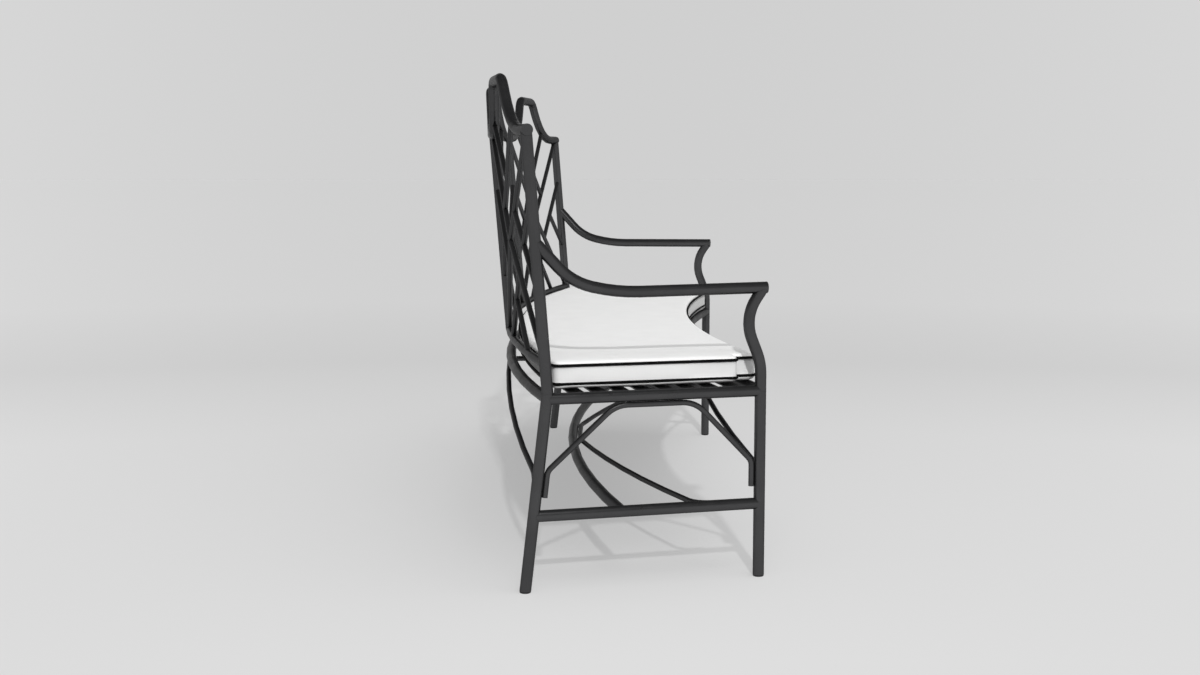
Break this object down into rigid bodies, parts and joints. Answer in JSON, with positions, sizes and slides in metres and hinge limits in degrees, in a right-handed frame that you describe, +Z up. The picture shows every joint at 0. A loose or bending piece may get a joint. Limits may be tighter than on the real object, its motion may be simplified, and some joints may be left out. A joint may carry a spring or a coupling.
{
  "type": "curved garden bench",
  "caption": "Curved metal garden bench with a leaning lattice back, humped crest rail, swept arms, braced legs, a slatted seat and a loose piped seat cushion.",
  "frame": {"origin": "middle of the bounding box's base, on the floor", "axes": "+Z up, +X along the bench towards its right end as seen from the front, the sitter faces -Y"},
  "size_m": [2.05, 0.6748, 1.1187],
  "materials": {
    "frame_metal": "satin charcoal powder coat",
    "glide_plastic": "matte black",
    "cushion_fabric": "white woven outdoor cloth with black piping"
  },
  "bodies": {
    "frame": {"rear_leg_left": "frame_metal", "rear_leg_right": "frame_metal", "back_post_left": "frame_metal", "back_post_right": "frame_metal", "front_leg_left": "frame_metal", "front_leg_right": "frame_metal", "side_seat_rail_left": "frame_metal", "side_seat_rail_right": "frame_metal", "side_stretcher_left": "frame_metal", "side_stretcher_right": "frame_metal", "back_mullion_left": "frame_metal", "back_mullion_right": "frame_metal", "seat_cross_bar_left": "frame_metal", "seat_cross_bar_right": "frame_metal", "front_seat_rail": "frame_metal", "rear_seat_rail": "frame_metal", "seat_slats": "frame_metal", "crest_rail": "frame_metal", "lower_back_rail": "frame_metal", "arms": "frame_metal", "arm_supports": "frame_metal", "side_braces": "frame_metal", "lattice_rising_diagonals": "frame_metal", "lattice_falling_diagonals": "frame_metal", "lattice_crest_frets": "frame_metal", "lattice_rail_frets": "frame_metal", "lattice_right_frets": "frame_metal", "lattice_left_frets": "frame_metal", "curved_stretcher": "frame_metal", "front_brace": "frame_metal", "rear_brace": "frame_metal", "stretcher_brace": "frame_metal", "foot_glides": "glide_plastic"},
    "cushion": {"seat_cushion": "cushion_fabric"}
  },
  "joints": [
    {"name": "cushion_lift", "type": "slide", "parent": "frame", "child": "cushion", "axis": [0, 0, 1], "range_m": [0, 0.2]}
  ]
}
